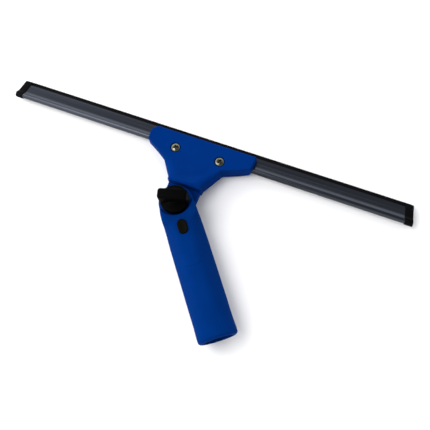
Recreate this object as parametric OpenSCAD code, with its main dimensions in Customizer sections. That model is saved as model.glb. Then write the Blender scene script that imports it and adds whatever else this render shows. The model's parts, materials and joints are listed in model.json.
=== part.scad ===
// Swivel-head squeegee: a clamped wiping blade on a head that turns on the end of its handle.
// Frame: X along the blade, +Y towards the wiping edge, +Z up from the table it lies on.
// The handle's own frame has the swivel axis at its origin and the handle along -Y.

/* [Blade] */
// Length of the wiping edge, over both end caps
blade_len = 350; // [250:5:450]
// How much further each end of the blade runs at its back than at its wiping edge
mitre_run = 3; // [0:0.5:5]
// How far the rubber stands out of the channel's lips
rubber_out = 3; // [2:0.5:4]
// Thickness of the rubber's web
web_t = 1.9; // [1.5:0.1:2]
// Depth of the channel, from the middle of its rounded back to its lips
lip_depth = 10.8; // [10:0.2:12]
// Outside radius of the channel's rounded back
tube_r = 2.75; // [2.6:0.05:3]
// Thickness of the channel's metal
metal_t = 0.8; // [0.6:0.1:0.9]
// Width of each end cap along the blade
cap_w = 6.6; // [3:0.1:8]
// Length of the stub on the left end cap
stub_len = 3; // [1:0.5:4]

/* [Head] */
// Distance from the swivel axis to the wiping edge
reach = 64; // [63:0.5:68]
// Half the width of the head across its wing tips
wing_x = 45.3; // [42:0.1:50]
// Distance between the two clamping screws
screw_gap = 39; // [34:1:44]
// Distance from the swivel axis to the line of the screws
screw_y = 44.8; // [44:0.1:45]
// Height of the wings' flat top
wing_z = 16; // [15:0.5:18]
// Distance from the swivel axis to the step that clears the fork
step_y = 15.1; // [15:0.1:17]
// Height of the head behind that step
neck_z = 24; // [22:0.5:26]

/* [Handle] */
// Angle between the handle and a square-on handle, as the squeegee lies
swivel = 38.9; // [-90:0.1:90]
// Length of the handle, from the swivel axis to its open end
handle_len = 112; // [100:1:140]
// Radius of the grip
grip_r = 15.6; // [15:0.1:17]
// Radius of the round ears of the fork
ear_r = 14.5; // [13.4:0.1:14.6]
// Radius of the pole socket
socket_r = 11; // [10:0.25:12]
// Depth of the pole socket
socket_depth = 80; // [60:1:82]

/* [Lock button] */
// Distance from the swivel axis to the middle of the lock button
button_s = 24.7; // [24:0.1:26]
// Length of the button, along the handle
button_len = 12; // [10:0.5:13]
// Width of the button
button_w = 7.3; // [6:0.1:8]
// Travel of the button
button_travel = 2.5; // [1.5:0.5:2.5]

/* [Knob] */
// Radius of the knob's disc
knob_r = 12; // [11:0.25:13]
// Height of the top of the knob's bar
knob_top = 40; // [38:0.5:44]
// Length of the bar
bar_len = 22; // [18:1:23]
// Width of the bar
bar_w = 6.4; // [5:0.2:8]
// Turn of the bar from the handle's X axis when it is tight
bar_turn = -20.9; // [-90:0.1:90]

/* [Hidden] */
$fn = 64;

BLUE = [0.03, 0.22, 0.55];
BLACK = [0.05, 0.05, 0.05];
STEEL = [0.72, 0.73, 0.74];
ALUMINIUM = [0.42, 0.43, 0.45];
BRASS = [0.75, 0.6, 0.25];
BRONZE = [0.55, 0.38, 0.2];

// Small working clearances
slip = 0.05;
ease = 0.2;
far = 300;

// Heights of the fork, from the table up
ear_low_z = 0.8;
ear_low_top = 6.4;
ear_high_z = 14;
ear_high_top = 20.4;
friction_t = 0.6;
tongue_low = ear_low_top + friction_t + slip;
tongue_top = ear_high_z - friction_t - slip;
tongue_r = ear_r - 0.4;
slot_s = ear_r + 0.3;

// Pivot hardware
bolt_r = 3;
bolt_head_r = 5.77;
bolt_head_t = 2.8;
bolt_top = 31.5;
bush_r = 5;
friction_r = 10;
spring_washer_t = 1.6;
thrust_t = 0.9;
thrust_low = ear_high_top + spring_washer_t;
knob_seat = thrust_low + thrust_t + slip;
skirt_z = ear_high_top + 0.6;
disc_z = 28;
insert_r = 5;
insert_t = 7;

// Channel and rubber
mid_z = 6.5;
lip_y = reach - rubber_out;
tube_y = lip_y - lip_depth;
gap_half = web_t / 2 + slip;
lip_half = gap_half + metal_t;
cap_wall = 1.4;
cap_skin = 0.6;
cap_back = tube_y - tube_r - cap_skin;
stub_r = 2.1;

// Clamping screws
screw_r = 2;
screw_head_r = 3.75;
screw_head_t = 2.4;
screw_seat = wing_z - 2;
recess_r = 4.4;
nut_r = 4.04;
nut_t = 3.2;
nut_top = 3.6;

// Latch
grip_z = grip_r;
nose_r = 6.3;
nose_s = 20;
plate_t = 2.4;
plate_x = 8.6;
plate_low = 6.5;
cover_z = 3.2;
cover_x = 9.3;
cover_y = 4.5;
spring_r = 2.3;
spring_floor = 1.2;
button_low = 26;
button_top = 31.2;
plate_top = button_low;
tang_x = 2.5;
tang_t = 3;
crown_r = 11;
crown_s = 20;
crown_x = 15.1;
crown_low = 0.3;
crown_top = 28.6;
round_s = 36;
end_round = 2.5;
end_r = grip_r - 0.2;

// The frame's origin: the middle of the whole outline, on the table
far_right = blade_len / 2 + mitre_run;
far_left = far_right + stub_len;
far_low = (handle_len - end_round) * cos(swivel) + (end_r - end_round) * abs(sin(swivel)) + end_round;
pivot_x = (far_left - far_right) / 2;
pivot_y = (far_low - reach) / 2;

// Stands children, drawn round the swivel axis, in the part's frame
module on_head() {
    translate([pivot_x, pivot_y, 0]) children();
}

// Stands children, drawn in the handle's own frame, in the part's frame
module on_handle() {
    on_head() rotate([0, 0, swivel]) children();
}

// A flat ring
module ring(outer, inner, low, high) {
    translate([0, 0, low]) difference() {
        cylinder(r = outer, h = high - low);
        translate([0, 0, -1]) cylinder(r = inner, h = high - low + 2);
    }
}

// A slot with round ends, long along Y
module oval(length, width, low, high) {
    straight = length - width;
    translate([-width / 2, -straight / 2, low]) cube([width, straight, high - low]);
    for (end = [-1, 1])
        translate([0, end * straight / 2, low]) cylinder(d = width, h = high - low);
}

// A cylinder along the handle, from distance s0 to s1 below the swivel axis
module along_handle(radius, s0, s1) {
    translate([0, -s0, grip_z]) rotate([90, 0, 0]) cylinder(r = radius, h = s1 - s0);
}

// A disc of the crown, where the fork grows into the round grip
module crown_slice(s) {
    for (x = [-1, 1] * (crown_x - crown_r), z = [crown_low + crown_r, crown_top - crown_r])
        translate([x, -s, z]) rotate([90, 0, 0]) cylinder(r = crown_r, h = 0.5, $fn = 32);
}

// The handle's outside, solid
module handle_outside() {
    // fork block, rounded about the swivel axis
    translate([0, 0, ear_low_z]) linear_extrude(ear_high_top - ear_low_z) union() {
        circle(r = ear_r);
        polygon([[-ear_r, 0], [ear_r, 0], [14.7, -slot_s - 1], [-14.7, -slot_s - 1]]);
    }
    // the block grows into the crown, and the crown into the round grip
    hull() {
        translate([-14.7, -slot_s - 1, ear_low_z]) cube([29.4, 1, ear_high_top - ear_low_z]);
        crown_slice(crown_s);
    }
    hull() {
        crown_slice(crown_s);
        translate([0, -round_s, grip_z]) rotate([90, 0, 0]) cylinder(r = grip_r, h = 0.5, $fn = 32);
    }
    // round grip with a soft rim at its open end
    translate([0, 0, grip_z]) rotate([90, 0, 0]) rotate_extrude() {
        polygon([[0, round_s], [grip_r, round_s], [grip_r, 84], [grip_r - 0.4, 98],
                 [end_r, handle_len - end_round - 4], [end_r, handle_len - end_round],
                 [0, handle_len - end_round]]);
        square_low = handle_len - end_round - 0.01;
        translate([0, square_low]) square([end_r - end_round, end_round + 0.01]);
        translate([end_r - end_round, handle_len - end_round]) intersection() {
            circle(r = end_round);
            translate([0, -0.01]) square(end_round + 1);
        }
    }
}

module handle_body() {
    color(BLUE) on_handle() difference() {
        handle_outside();
        // gap of the fork, open at both sides
        translate([-far / 2, -slot_s, ear_low_top]) cube([far, far, ear_high_z - ear_low_top]);
        // bolt hole and the pocket for its head
        cylinder(r = bolt_r + slip, h = far);
        translate([0, 0, -1]) cylinder(r = bolt_head_r + slip, h = 1 + ear_low_z + bolt_head_t, $fn = 6);
        // pole socket and the smaller bore for the pole's tip
        along_handle(socket_r, handle_len - socket_depth, handle_len + 1);
        along_handle(nose_r, nose_s, handle_len);
        // well for the button, slot for the latch plate, pocket for its spring
        translate([0, -button_s, 0]) {
            oval(button_len + 2 * ease, button_w + 2 * ease, button_low - button_travel - 0.5, far);
            translate([-plate_x - ease, -plate_t / 2 - ease / 2, cover_z - 1])
                cube([2 * (plate_x + ease), plate_t + ease, plate_top + ease - cover_z + 1]);
            cylinder(r = spring_r + ease, h = plate_low + 1);
            translate([-cover_x, -cover_y, -1]) cube([2 * cover_x, 2 * cover_y, cover_z + 1]);
        }
    }
}

module pivot_bolt() {
    color(STEEL) on_handle() {
        translate([0, 0, ear_low_z]) cylinder(r = bolt_head_r, h = bolt_head_t, $fn = 6);
        translate([0, 0, ear_low_z]) cylinder(r = bolt_r, h = bolt_top - ear_low_z);
    }
}

module lower_friction_washer() {
    color(BLACK) on_handle() ring(friction_r, bolt_r + slip, ear_low_top, ear_low_top + friction_t);
}

module upper_friction_washer() {
    color(BLACK) on_handle() ring(friction_r, bolt_r + slip, ear_high_z - friction_t, ear_high_z);
}

// Cone washer, drawn pressed almost flat
module spring_washer() {
    cone_t = 0.8;
    color(STEEL) on_handle() rotate_extrude() {
        polygon([[bolt_r + 0.4, thrust_low - cone_t], [bolt_r + 0.4, thrust_low],
                 [bolt_r + 1.2, thrust_low], [8, ear_high_top + cone_t], [8, ear_high_top],
                 [7.2, ear_high_top]]);
    }
}

module thrust_washer() {
    color(STEEL) on_handle() ring(8.3, bolt_r + slip, thrust_low, thrust_low + thrust_t);
}

module knob() {
    color(BLACK) on_handle() rotate([0, 0, bar_turn]) difference() {
        union() {
            rotate_extrude() {
                polygon([[0, skirt_z], [knob_r - 1.6, skirt_z], [knob_r, skirt_z + 3],
                         [knob_r, disc_z - 1.2], [knob_r - 1.2, disc_z], [7, disc_z + 1.6],
                         [4, disc_z + 6], [0, disc_z + 6]]);
            }
            rotate([0, 0, 90]) oval(bar_len, bar_w, disc_z - 2, knob_top);
        }
        // recess over the two washers, bed of the threaded insert, room for the bolt's end
        cylinder(r = 8.8, h = knob_seat);
        cylinder(r = insert_r, h = knob_seat + insert_t, $fn = 6);
        cylinder(r = bolt_r + 0.3, h = bolt_top + 2);
    }
}

module knob_insert() {
    color(BRASS) on_handle() rotate([0, 0, bar_turn]) translate([0, 0, knob_seat]) difference() {
        cylinder(r = insert_r, h = insert_t, $fn = 6);
        translate([0, 0, -1]) cylinder(r = bolt_r + slip, h = insert_t + 2);
    }
}

module lock_button() {
    color(BLACK) on_handle() translate([0, -button_s, 0]) difference() {
        oval(button_len, button_w, button_low, button_top);
        // blind slot over the latch plate's tang
        translate([-tang_x, -plate_t / 2, button_low - 1]) cube([2 * tang_x, plate_t, tang_t + 1]);
    }
}

// Sliding plate with a round window: its lower edge holds the pole's tip
module latch_plate() {
    color(STEEL) on_handle() translate([0, -button_s, 0]) difference() {
        union() {
            translate([-plate_x, -plate_t / 2, plate_low])
                cube([2 * plate_x, plate_t, plate_top - plate_low]);
            translate([-tang_x, -plate_t / 2, plate_low])
                cube([2 * tang_x, plate_t, plate_top + tang_t - plate_low]);
        }
        translate([0, plate_t, grip_z + button_travel]) rotate([90, 0, 0])
            cylinder(r = nose_r, h = 2 * plate_t);
    }
}

module latch_spring() {
    color(STEEL) on_handle() translate([0, -button_s, 0])
        ring(spring_r, spring_r - 0.6, spring_floor, plate_low);
}

module latch_cover() {
    color(BLUE) on_handle() difference() {
        intersection() {
            handle_outside();
            translate([-cover_x, -button_s - cover_y, -1]) cube([2 * cover_x, 2 * cover_y, cover_z + 1]);
        }
        translate([0, -button_s, spring_floor]) cylinder(r = spring_r + slip, h = far);
    }
}

// Stands a cross-section, drawn as distance from the swivel axis against height, along the blade
module along_blade(length) {
    rotate([90, 0, 90]) translate([0, 0, -length / 2]) linear_extrude(length) children();
}

// The channel's outside section, grown by a margin
module channel_outside(grow) {
    translate([tube_y, mid_z]) circle(r = tube_r + grow);
    translate([tube_y, mid_z - lip_half - grow]) square([lip_depth + grow, 2 * (lip_half + grow)]);
}

module rubber_section(grow) {
    translate([tube_y, mid_z]) circle(r = tube_r - metal_t - slip + grow);
    translate([tube_y, mid_z - web_t / 2 - grow]) square([reach - tube_y, web_t + 2 * grow]);
}

// The blade's outline in plan, its ends drawn back by a distance
module blade_plan(back_off) {
    front = blade_len / 2 - back_off;
    rear = front + mitre_run * (reach - cap_back) / (reach - tube_y);
    translate([0, 0, -1]) linear_extrude(far)
        polygon([[-front, reach], [front, reach], [rear, cap_back], [-rear, cap_back]]);
}

module channel() {
    color(ALUMINIUM) on_head() intersection() {
        along_blade(blade_len + far) difference() {
            channel_outside(0);
            translate([tube_y, mid_z]) circle(r = tube_r - metal_t);
            translate([tube_y, mid_z - gap_half]) square([far, 2 * gap_half]);
        }
        blade_plan(cap_wall);
    }
}

module rubber_blade() {
    color(BLACK) on_head() intersection() {
        along_blade(blade_len + far) rubber_section(0);
        blade_plan(cap_wall);
    }
}

// Cap on one end of the channel: side is -1 on the left and 1 on the right
module end_cap(side) {
    color(BLACK) on_head() difference() {
        union() {
            intersection() {
                along_blade(blade_len + far) {
                    translate([tube_y, mid_z]) circle(r = tube_r + cap_skin);
                    translate([tube_y, mid_z - lip_half - cap_skin])
                        square([lip_depth + cap_skin, 2 * (lip_half + cap_skin)]);
                }
                difference() {
                    blade_plan(0);
                    blade_plan(cap_w);
                }
                translate([side * far / 2, 0, 0]) cube([far, far, far], center = true);
            }
            if (side < 0) translate([-far_left, tube_y, mid_z]) rotate([0, 90, 0])
                cylinder(r = stub_r, h = stub_len + 1);
        }
        intersection() {
            along_blade(blade_len + far) {
                channel_outside(slip);
                rubber_section(slip);
            }
            blade_plan(cap_wall);
        }
    }
}

module end_cap_left() {
    end_cap(-1);
}

module end_cap_right() {
    end_cap(1);
}

// One half of the head's plan, mirrored onto the other
function both_sides(half) = concat(half, [for (i = [len(half) - 1 : -1 : 0]) [-half[i][0], half[i][1]]]);

module head_plan() {
    polygon(both_sides([[14, step_y], [15.2, 18.5], [20.8, 26.3], [26, 33.5], [wing_x - 9.3, 38.8],
                        [wing_x, 44], [wing_x, 55.5], [wing_x - 3, 59.5]]));
}

// Cuts that both jaws share: the channel's bed and the screws' holes
module jaw_cuts() {
    along_blade(far) channel_outside(slip);
    along_blade(far) translate([lip_y - 1, mid_z - lip_half - slip]) square([far, 2 * (lip_half + slip)]);
    for (side = [-1, 1])
        translate([side * screw_gap / 2, screw_y, -1]) cylinder(r = screw_r + 0.1, h = far);
}

module head_body() {
    color(BLUE) on_head() difference() {
        union() {
            intersection() {
                linear_extrude(neck_z + 1) head_plan();
                along_blade(far) polygon([[step_y, ear_low_z], [33.9, ear_low_z], [33.9, mid_z],
                    [60, mid_z], [60, wing_z - 2.5], [58, wing_z - 0.5], [54, wing_z], [38, wing_z],
                    [33, wing_z + 1], [26, neck_z - 3.4], [20, neck_z - 0.5], [17.3, neck_z],
                    [step_y, neck_z - 0.6]]);
            }
            translate([0, 0, tongue_low]) cylinder(r = tongue_r, h = tongue_top - tongue_low);
            translate([-tongue_r, 0, tongue_low])
                cube([2 * tongue_r, step_y + 1, tongue_top - tongue_low]);
        }
        cylinder(r = bush_r + slip / 2, h = tongue_top + 1);
        jaw_cuts();
        for (side = [-1, 1])
            translate([side * screw_gap / 2, screw_y, screw_seat]) cylinder(r = recess_r, h = far);
    }
}

module rear_jaw() {
    color(BLUE) on_head() difference() {
        linear_extrude(mid_z)
            polygon(both_sides([[26, 34], [wing_x - 9.5, 39.4], [wing_x - 0.6, 44.4],
                                [wing_x - 0.6, 55], [wing_x - 3.6, 58.8]]));
        jaw_cuts();
        for (side = [-1, 1])
            translate([side * screw_gap / 2, screw_y, -1]) cylinder(r = nut_r + slip, h = nut_top + 1, $fn = 6);
    }
}

module jaw_screws() {
    color(STEEL) on_head() for (side = [-1, 1]) translate([side * screw_gap / 2, screw_y, 0]) {
        translate([0, 0, 0.4]) cylinder(r = screw_r, h = screw_seat);
        translate([0, 0, screw_seat]) difference() {
            cylinder(r = screw_head_r, h = screw_head_t);
            // cross recess for the driver
            for (turn = [0, 90]) rotate([0, 0, turn])
                translate([-2.2, -0.45, screw_head_t - 1.3]) cube([4.4, 0.9, 2]);
        }
    }
}

module jaw_nuts() {
    color(STEEL) on_head() for (side = [-1, 1])
        translate([side * screw_gap / 2, screw_y, nut_top - nut_t]) difference() {
            cylinder(r = nut_r, h = nut_t, $fn = 6);
            translate([0, 0, -1]) cylinder(r = screw_r + slip, h = nut_t + 2);
        }
}

module tongue_bush() {
    color(BRONZE) on_head() ring(bush_r, bolt_r + slip, tongue_low, tongue_top);
}

handle_body();
pivot_bolt();
lower_friction_washer();
upper_friction_washer();
spring_washer();
thrust_washer();
knob();
knob_insert();
lock_button();
latch_plate();
latch_spring();
latch_cover();
head_body();
rear_jaw();
jaw_screws();
jaw_nuts();
tongue_bush();
channel();
rubber_blade();
end_cap_left();
end_cap_right();
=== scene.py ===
# %% [markdown]
# # A swivel-head squeegee, dressed
# The frame holds the working parts: where the swivel is, how far the head turns, what the knob lifts.
# Everything below is the skin and the finish of those parts. Each cell makes one thing and prints it.
# Pieces are surfaces worked out with numpy in millimetres, in one of two drawing frames. In the head's frame
# the blade lies along X and the swivel axis is at the origin. In the handle's frame the grip runs along -Y.

# %% The frame and the two drawing frames
import json
import math

import bpy
import numpy as np
from mathutils import Matrix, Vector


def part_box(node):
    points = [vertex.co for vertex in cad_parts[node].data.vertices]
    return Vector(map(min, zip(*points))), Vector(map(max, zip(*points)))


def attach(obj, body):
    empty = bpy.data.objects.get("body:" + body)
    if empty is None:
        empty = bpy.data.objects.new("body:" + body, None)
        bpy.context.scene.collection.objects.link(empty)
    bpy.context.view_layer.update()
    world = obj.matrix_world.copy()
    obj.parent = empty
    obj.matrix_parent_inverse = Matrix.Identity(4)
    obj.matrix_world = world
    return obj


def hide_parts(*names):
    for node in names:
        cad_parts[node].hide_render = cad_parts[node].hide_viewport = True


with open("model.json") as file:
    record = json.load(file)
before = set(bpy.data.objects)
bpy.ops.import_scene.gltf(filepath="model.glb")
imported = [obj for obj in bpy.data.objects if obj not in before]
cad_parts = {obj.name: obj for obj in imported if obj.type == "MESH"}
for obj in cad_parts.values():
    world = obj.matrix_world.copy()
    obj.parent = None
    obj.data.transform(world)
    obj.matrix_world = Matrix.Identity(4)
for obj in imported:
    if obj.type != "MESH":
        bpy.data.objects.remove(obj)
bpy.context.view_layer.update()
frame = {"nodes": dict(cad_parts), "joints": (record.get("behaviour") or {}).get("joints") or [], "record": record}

MM = 0.001
JOINTS = {joint["name"]: joint for joint in frame["joints"]}
SOCKET = next(mount for mount in frame["record"]["mounts"] if mount["name"] == "pole_socket")
PIVOT = np.array(JOINTS["head_swivel"]["pos_m"][:2]) / MM
SWIVEL = math.atan2(SOCKET["axis"][0], -SOCKET["axis"][1])
HANDLE_LEN = float(np.hypot(*(np.array(SOCKET["pos_m"][:2]) / MM - PIVOT)))
GRIP_Z = SOCKET["pos_m"][2] / MM


def from_head(points):
    """Head frame in mm to the shared frame in m: a shift by the swivel axis."""
    out = np.array(points, float)
    out[..., :2] += PIVOT
    return out * MM


def spun(points, angle):
    """Points turned about the upright axis by an angle."""
    out = np.array(points, float)
    x, y = out[..., 0].copy(), out[..., 1].copy()
    out[..., 0] = x * math.cos(angle) - y * math.sin(angle)
    out[..., 1] = x * math.sin(angle) + y * math.cos(angle)
    return out


def from_handle(points):
    """Handle frame in mm to the shared frame in m: a turn by the swivel's angle, then the same shift."""
    return from_head(spun(points, SWIVEL))


def heights(node):
    """The lowest and highest level of a CAD node, in mm."""
    low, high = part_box(node)
    return low.z / MM, high.z / MM


def placed(name, data):
    """A new object that holds this data, linked into the scene."""
    made = bpy.data.objects.new(name, data)
    bpy.context.scene.collection.objects.link(made)
    return made


def along_axes(right, up, back, at):
    """The matrix of a thing whose own X, Y and Z run right, up and back."""
    return Matrix([*np.column_stack([right, up, back, at]).tolist(), [0, 0, 0, 1]])


print(f"swivel {math.degrees(SWIVEL):.1f} degrees, handle {HANDLE_LEN:.1f} mm, axis {GRIP_Z:.1f} mm up")

# %% [markdown]
# ## The camera
# The squeegee lies on a table and is seen from above, a little from the end of the handle.
# The picture is rolled, so that the blade runs down to the right. A 46 mm lens stands 450 mm away.
# A camera looks along its own -Z, so its matrix is built from three directions: right, up and back.

# %% Camera
VIEW_TARGET = (29.6, 5.5, 0)
VIEW_DISTANCE = 449.9
AZIMUTH, ELEVATION, ROLL = (math.radians(angle) for angle in (37.13, 71.81, -16.44))
LENS, SENSOR_WIDTH = 46.05, 36

back = np.array([math.sin(AZIMUTH) * math.cos(ELEVATION), -math.cos(AZIMUTH) * math.cos(ELEVATION),
                 math.sin(ELEVATION)])
level_right = np.array([math.cos(AZIMUTH), math.sin(AZIMUTH), 0])
level_up = np.cross(back, level_right)
view_right = math.cos(ROLL) * level_right + math.sin(ROLL) * level_up
view_up = math.cos(ROLL) * level_up - math.sin(ROLL) * level_right
eye = from_head(np.array(VIEW_TARGET) + back * VIEW_DISTANCE)

camera_data = bpy.data.cameras.new("camera")
camera_data.sensor_width = SENSOR_WIDTH
camera_data.lens = LENS
camera_data.clip_start = 0.01
camera = placed("camera", camera_data)
camera.matrix_world = along_axes(view_right, view_up, back, eye)
bpy.context.scene.camera = camera
print("camera at", np.round(eye, 3))

# %% [markdown]
# ## Floor and light
# A pale floor, one soft lamp high on the left, and a sky that is dim overhead and bright low down, most of
# all beyond the blade and to the left. The lamp gives every moulded edge a lit side and a shaded side. The
# sky fills the shaded side, so the shadow is soft and light. Metal that faces up mirrors the dim part of the
# sky: the channel's flat stays dark, with a brighter band along its tube.

# %% Floor, lamp and sky
FLOOR_HALF = 2.5
LAMP_DISTANCE = 1.3
LAMP_LEFT, LAMP_AHEAD, LAMP_UP = 0.42, 0.16, 0.90
LAMP_SIZE, LAMP_POWER = 0.8, 9
SKY_BRIGHT, SKY_DIM = 2.9, 0.65
SKY_AHEAD, SKY_LEFT = 0.70, 0.55
BRIGHT_UP_TO, DIM_ABOVE = 0.62, 0.80
OVERHEAD = (0.28, 0.28, 0.30, 1)


def add(tree, kind, links=(), **settings):
    """A node with its settings; links are (input name or number, socket or value)."""
    node = tree.nodes.new(kind)
    for key, value in settings.items():
        setattr(node, key, value)
    for key, source in links:
        if isinstance(source, bpy.types.NodeSocket):
            tree.links.new(source, node.inputs[key])
        else:
            node.inputs[key].default_value = source
    return node


def matte_floor(name, colour, roughness):
    """A plain matte material for the floor."""
    material = bpy.data.materials.new(name)
    material.use_nodes = True
    shader = material.node_tree.nodes["Principled BSDF"]
    shader.inputs["Base Color"].default_value = (*colour, 1)
    shader.inputs["Roughness"].default_value = roughness
    shader.inputs["Specular IOR Level"].default_value = 0.1
    return material


floor_mesh = bpy.data.meshes.new("floor")
floor_corners = [(x * FLOOR_HALF, y * FLOOR_HALF, 0) for x, y in ((-1, -1), (1, -1), (1, 1), (-1, 1))]
floor_mesh.from_pydata(floor_corners, [], [(0, 1, 2, 3)])
floor_mesh.materials.append(matte_floor("pale_floor", (0.86, 0.86, 0.86), 0.9))
floor = placed("floor", floor_mesh)

lamp_data = bpy.data.lights.new("soft_lamp", "AREA")
lamp_data.shape = "DISK"
lamp_data.size = LAMP_SIZE
lamp_data.energy = LAMP_POWER
lamp = placed("soft_lamp", lamp_data)
ahead = np.array([-math.sin(AZIMUTH), math.cos(AZIMUTH), 0])
lamp_way = -LAMP_LEFT * level_right + LAMP_AHEAD * ahead + LAMP_UP * np.array([0, 0, 1])
lamp_way /= np.linalg.norm(lamp_way)
aim = from_head([20, 0, 15])
side = np.cross([0, 0, 1], lamp_way)
side /= np.linalg.norm(side)
lamp.matrix_world = along_axes(side, np.cross(lamp_way, side), lamp_way, aim + lamp_way * LAMP_DISTANCE)

world = bpy.data.worlds.new("sky")
world.use_nodes = True
bpy.context.scene.world = world
sky = world.node_tree
background = sky.nodes["Background"]
way = add(sky, "ShaderNodeTexCoord").outputs["Generated"]
height = add(sky, "ShaderNodeSeparateXYZ", [("Vector", way)]).outputs["Z"]
ramp = add(sky, "ShaderNodeValToRGB", [("Fac", height)])
bright, dim = ramp.color_ramp.elements
bright.position, bright.color = BRIGHT_UP_TO, (1, 1, 1, 1)
dim.position, dim.color = DIM_ABOVE, OVERHEAD
bright_way = SKY_AHEAD * ahead - SKY_LEFT * level_right
facing = add(sky, "ShaderNodeVectorMath", [(0, way), (1, bright_way)], operation="DOT_PRODUCT")
strength = add(sky, "ShaderNodeMapRange", [("Value", facing.outputs["Value"]), ("From Min", -1),
                                           ("To Min", SKY_DIM), ("To Max", SKY_BRIGHT)])
sky.links.new(strength.outputs["Result"], background.inputs["Strength"])
sky.links.new(ramp.outputs["Color"], background.inputs["Color"])
bpy.context.scene.view_settings.view_transform = "Standard"
print("lamp at", np.round(aim + lamp_way * LAMP_DISTANCE, 2))

# %% [markdown]
# ## Turning grids into meshes
# Nearly every piece is a closed shell: rows of points, each row a ring. Neighbouring rings are joined by
# four-sided faces, and the first and last ring are closed by a fan to their middle. The signed volume tells
# whether the faces point outwards, and they are all flipped if they don't.

# %% Shells
SMOOTH_BELOW = math.radians(32)


def mesh_from(name, points, faces):
    """A mesh in metres, smooth where faces meet at less than 32 degrees."""
    mesh = bpy.data.meshes.new(name)
    mesh.from_pydata(points.tolist(), [], faces)
    mesh.validate()
    mesh.shade_smooth()
    mesh.set_sharp_from_angle(angle=SMOOTH_BELOW)
    return mesh


def closed_piece(name, points, quads, fans, place):
    """An object from quads and triangles, all flipped if their signed volume is negative.

    The volume is a sixth of the sum of a . (b x c) over all triangles with corners a, b and c.
    """
    corners = np.vstack([quads[:, [0, 1, 2]], quads[:, [0, 2, 3]], fans])
    a, b, c = (points[corners[:, k]] for k in range(3))
    faces = quads.tolist() + fans.tolist()
    if np.einsum("ij,ij->i", a, np.cross(b, c)).sum() < 0:
        faces = [face[::-1] for face in faces]
    return placed(name, mesh_from(name, place(points), faces))


def shell(name, rings, place):
    """Rings of points (rows x columns x 3, in mm) to a closed object.

    Each point is joined to the next one in its ring and to the same one in the next ring. Both ends are
    closed by fans.
    """
    rings = np.array(rings, float)
    rows, columns = rings.shape[:2]
    number = np.arange(rows * columns).reshape(rows, columns)
    this, following = number[:-1], number[1:]
    quads = np.stack([this, np.roll(this, -1, 1), np.roll(following, -1, 1), following], -1).reshape(-1, 4)
    first_middle = rows * columns
    first = np.stack([np.roll(number[0], -1), number[0], np.full(columns, first_middle)], -1)
    last = np.stack([number[-1], np.roll(number[-1], -1), np.full(columns, first_middle + 1)], -1)
    points = np.vstack([rings.reshape(-1, 3), rings[[0, -1]].mean(1)])
    return closed_piece(name, points, quads, np.vstack([first, last]), place)


def carve(piece, *tools, operation="DIFFERENCE"):
    """Takes solid tools away from a piece, or joins them on, and throws the tools away."""
    for tool in tools:
        cut = piece.modifiers.new("cut", "BOOLEAN")
        cut.operation = operation
        cut.solver = "MANIFOLD"
        cut.object = tool
    bpy.context.view_layer.update()
    made = bpy.data.meshes.new_from_object(piece.evaluated_get(bpy.context.evaluated_depsgraph_get()))
    piece.modifiers.clear()
    old = piece.data
    piece.data = made
    made.name = old.name
    made.shade_smooth()
    made.set_sharp_from_angle(angle=SMOOTH_BELOW)
    bpy.data.meshes.remove(old)
    for tool in tools:
        bpy.data.objects.remove(tool)
    return piece


def eased(at, knots, blur):
    """A bent line through (position, value) knots with rounded corners: the mean of nine readings."""
    positions, values = np.array(knots, float).T
    shifts = np.linspace(-blur, blur, 9)
    return np.interp(np.asarray(at, float)[..., None] + shifts, positions, values).mean(-1)


def turned(name, profile, place, centre=(0, 0), columns=72):
    """A turned piece: (radius, height) points carried round an upright axis."""
    radius, height = np.array(profile, float).T
    angle = np.linspace(0, 2 * math.pi, columns, endpoint=False)
    x = centre[0] + radius[:, None] * np.cos(angle)
    y = centre[1] + radius[:, None] * np.sin(angle)
    return shell(name, np.stack([x, y, np.repeat(height[:, None], columns, 1)], -1), place)


def arc(centre, radius, start, end, steps=6):
    """Points of an arc in (radius, height), from one angle to another in degrees."""
    angle = np.radians(np.linspace(start, end, steps))
    return np.stack([centre[0] + radius * np.cos(angle), centre[1] + radius * np.sin(angle)], -1)


def block(low, high, place):
    """A box between two corners, as a cutting tool."""
    (x0, y0, z0), (x1, y1, z1) = low, high
    ring = [(x0, y0), (x1, y0), (x1, y1), (x0, y1)]
    return shell("tool", [[(x, y, z) for x, y in ring] for z in (z0, z1)], place)


def drill(radius, low, high, place, centre=(0, 0), columns=72):
    """A straight upright cylinder, as a cutting tool; six columns make a hexagon."""
    return turned("tool", [(radius, low), (radius, high)], place, centre, columns)


print("shell tools ready")

# %% [markdown]
# ## Outlines and slabs
# Moulded plates and buttons are slabs: a plan outline with rounded corners, sides that lean in a little so
# the part leaves its mould, a rounded top edge, and a top that may swell or dip. A slab is one grid. One
# parameter runs round the outline. The other starts in the middle of the underside, runs out to the edge,
# up the side, round the top edge and back to the middle of the top.

# %% Rounded outlines and slabs
FULL_ROUND = 0.999


def equal_steps(path, step=None, count=None):
    """A closed path as points at equal steps, by the step's length or by their count."""
    path = np.vstack([path, path[:1]])
    length = np.concatenate([[0], np.cumsum(np.linalg.norm(np.diff(path, axis=0), axis=1))])
    at = np.linspace(0, length[-1], count or int(length[-1] / step), endpoint=False)
    return np.stack([np.interp(at, length, path[:, 0]), np.interp(at, length, path[:, 1])], -1)


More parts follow.
